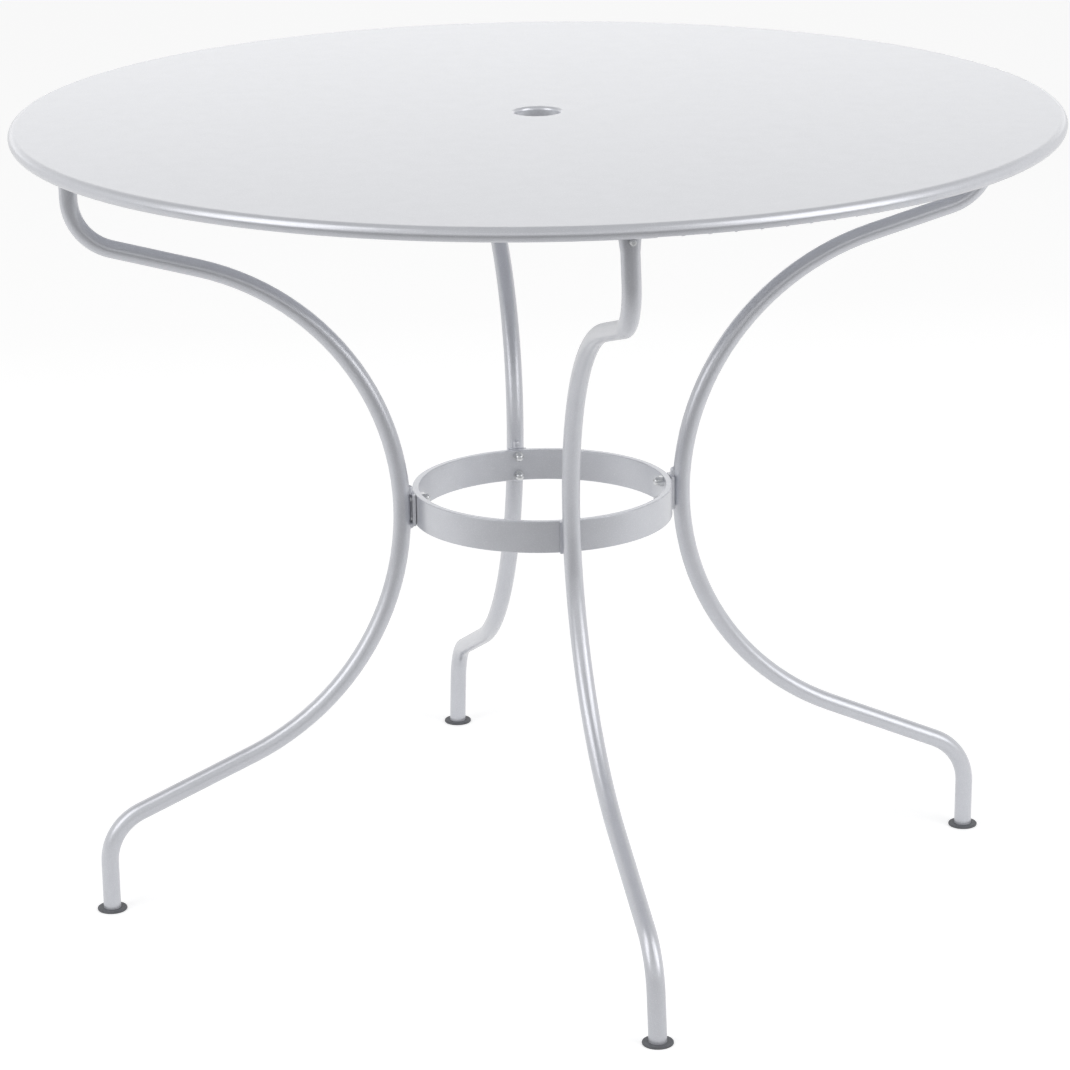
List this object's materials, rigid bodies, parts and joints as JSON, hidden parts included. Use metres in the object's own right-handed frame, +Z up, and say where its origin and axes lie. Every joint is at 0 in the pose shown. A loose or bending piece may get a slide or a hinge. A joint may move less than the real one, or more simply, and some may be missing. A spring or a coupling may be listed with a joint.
{
  "type": "round garden table",
  "caption": "Round sheet-steel garden table with a curled rim and a parasol hole, on bent tube legs bolted to a flat-bar ring at half height.",
  "frame": {"origin": "on the floor, under the middle of the parasol hole", "axes": "+Z up along the parasol hole; a leg joins the ring on each of +X, +Y, -X and -Y, the one nearest the picture's camera on -Y"},
  "size_m": [0.96, 0.96, 0.74],
  "materials": {
    "powder_coat": "pale silver-grey powder coat, satin, very fine texture",
    "bright_zinc": "bright zinc plating",
    "glide_plastic": "matt charcoal moulded plastic"
  },
  "bodies": {
    "root": {"table_top": "powder_coat", "ring": "powder_coat", "leg_right": "powder_coat", "leg_back": "powder_coat", "leg_left": "powder_coat", "leg_front": "powder_coat", "ring_plate_right": "powder_coat", "ring_plate_back": "powder_coat", "ring_plate_left": "powder_coat", "ring_plate_front": "powder_coat", "top_bracket_right": "powder_coat", "top_bracket_back": "powder_coat", "top_bracket_left": "powder_coat", "top_bracket_front": "powder_coat", "ring_bolts": "bright_zinc", "bracket_bolts": "bright_zinc", "bracket_washers": "bright_zinc", "foot_glide_right": "glide_plastic", "foot_glide_back": "glide_plastic", "foot_glide_left": "glide_plastic", "foot_glide_front": "glide_plastic"}
  },
  "joints": []
}
